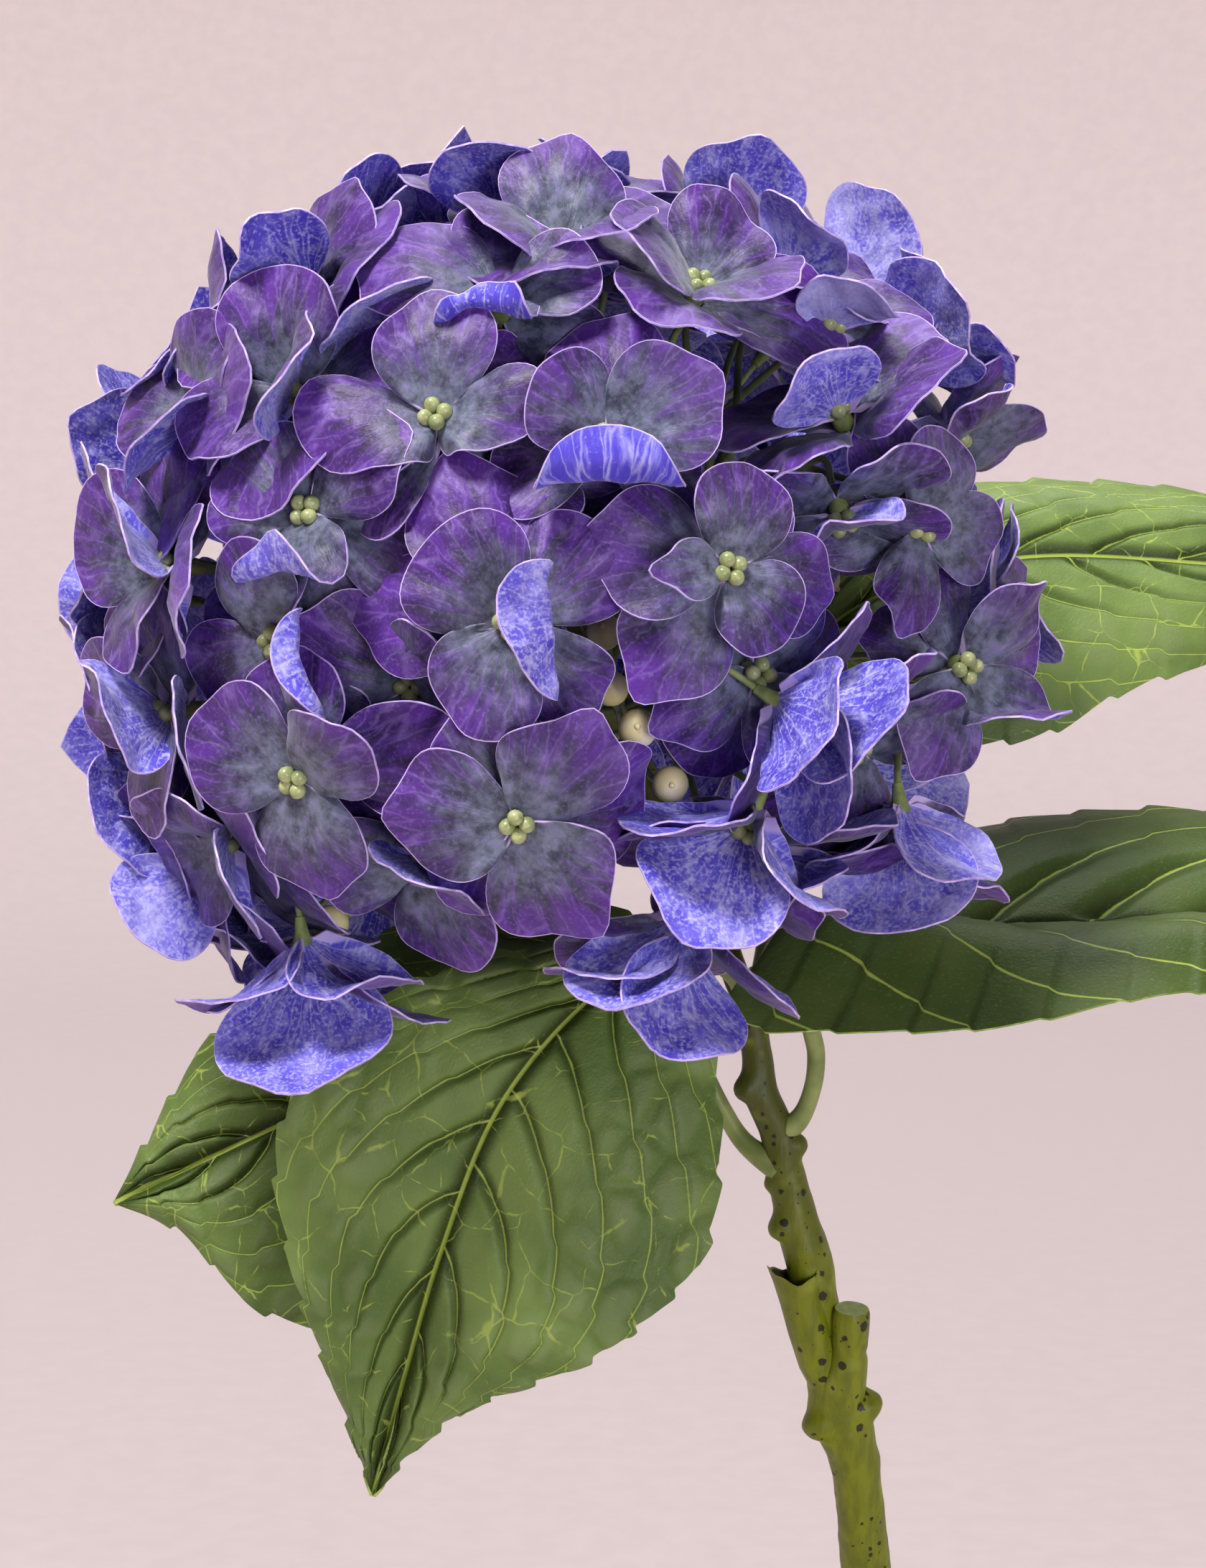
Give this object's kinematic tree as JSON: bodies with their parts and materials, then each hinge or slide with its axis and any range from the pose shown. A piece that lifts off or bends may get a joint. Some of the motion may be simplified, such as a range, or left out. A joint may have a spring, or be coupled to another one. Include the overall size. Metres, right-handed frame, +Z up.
{
  "type": "hydrangea in a jar",
  "caption": "Cut hydrangea with a round violet-blue flower head, serrated green leaves and a speckled cane, standing in a clear glass jar of water.",
  "frame": {"origin": "centre of the jar's flat underside", "axes": "+Z up along the jar's axis, -Y towards the viewer, the flower head leaning to -X and slightly to -Y"},
  "size_m": [0.2427, 0.1711, 0.4042],
  "materials": {
    "glass": "clear, pressed and fire polished",
    "water": "clear and still",
    "cane": "green bark with dark speckles",
    "leaf": "satin, puckered between pale veins",
    "petal": "velvety, violet with pale edges and blue backs"
  },
  "bodies": {
    "root": {"jar": "glass", "water": "water", "stem": "cane", "leaf_front": "leaf", "leaf_back_left": "leaf", "leaf_lower_right": "leaf", "leaf_upper_right": "leaf", "flower_head": "petal"}
  },
  "joints": []
}
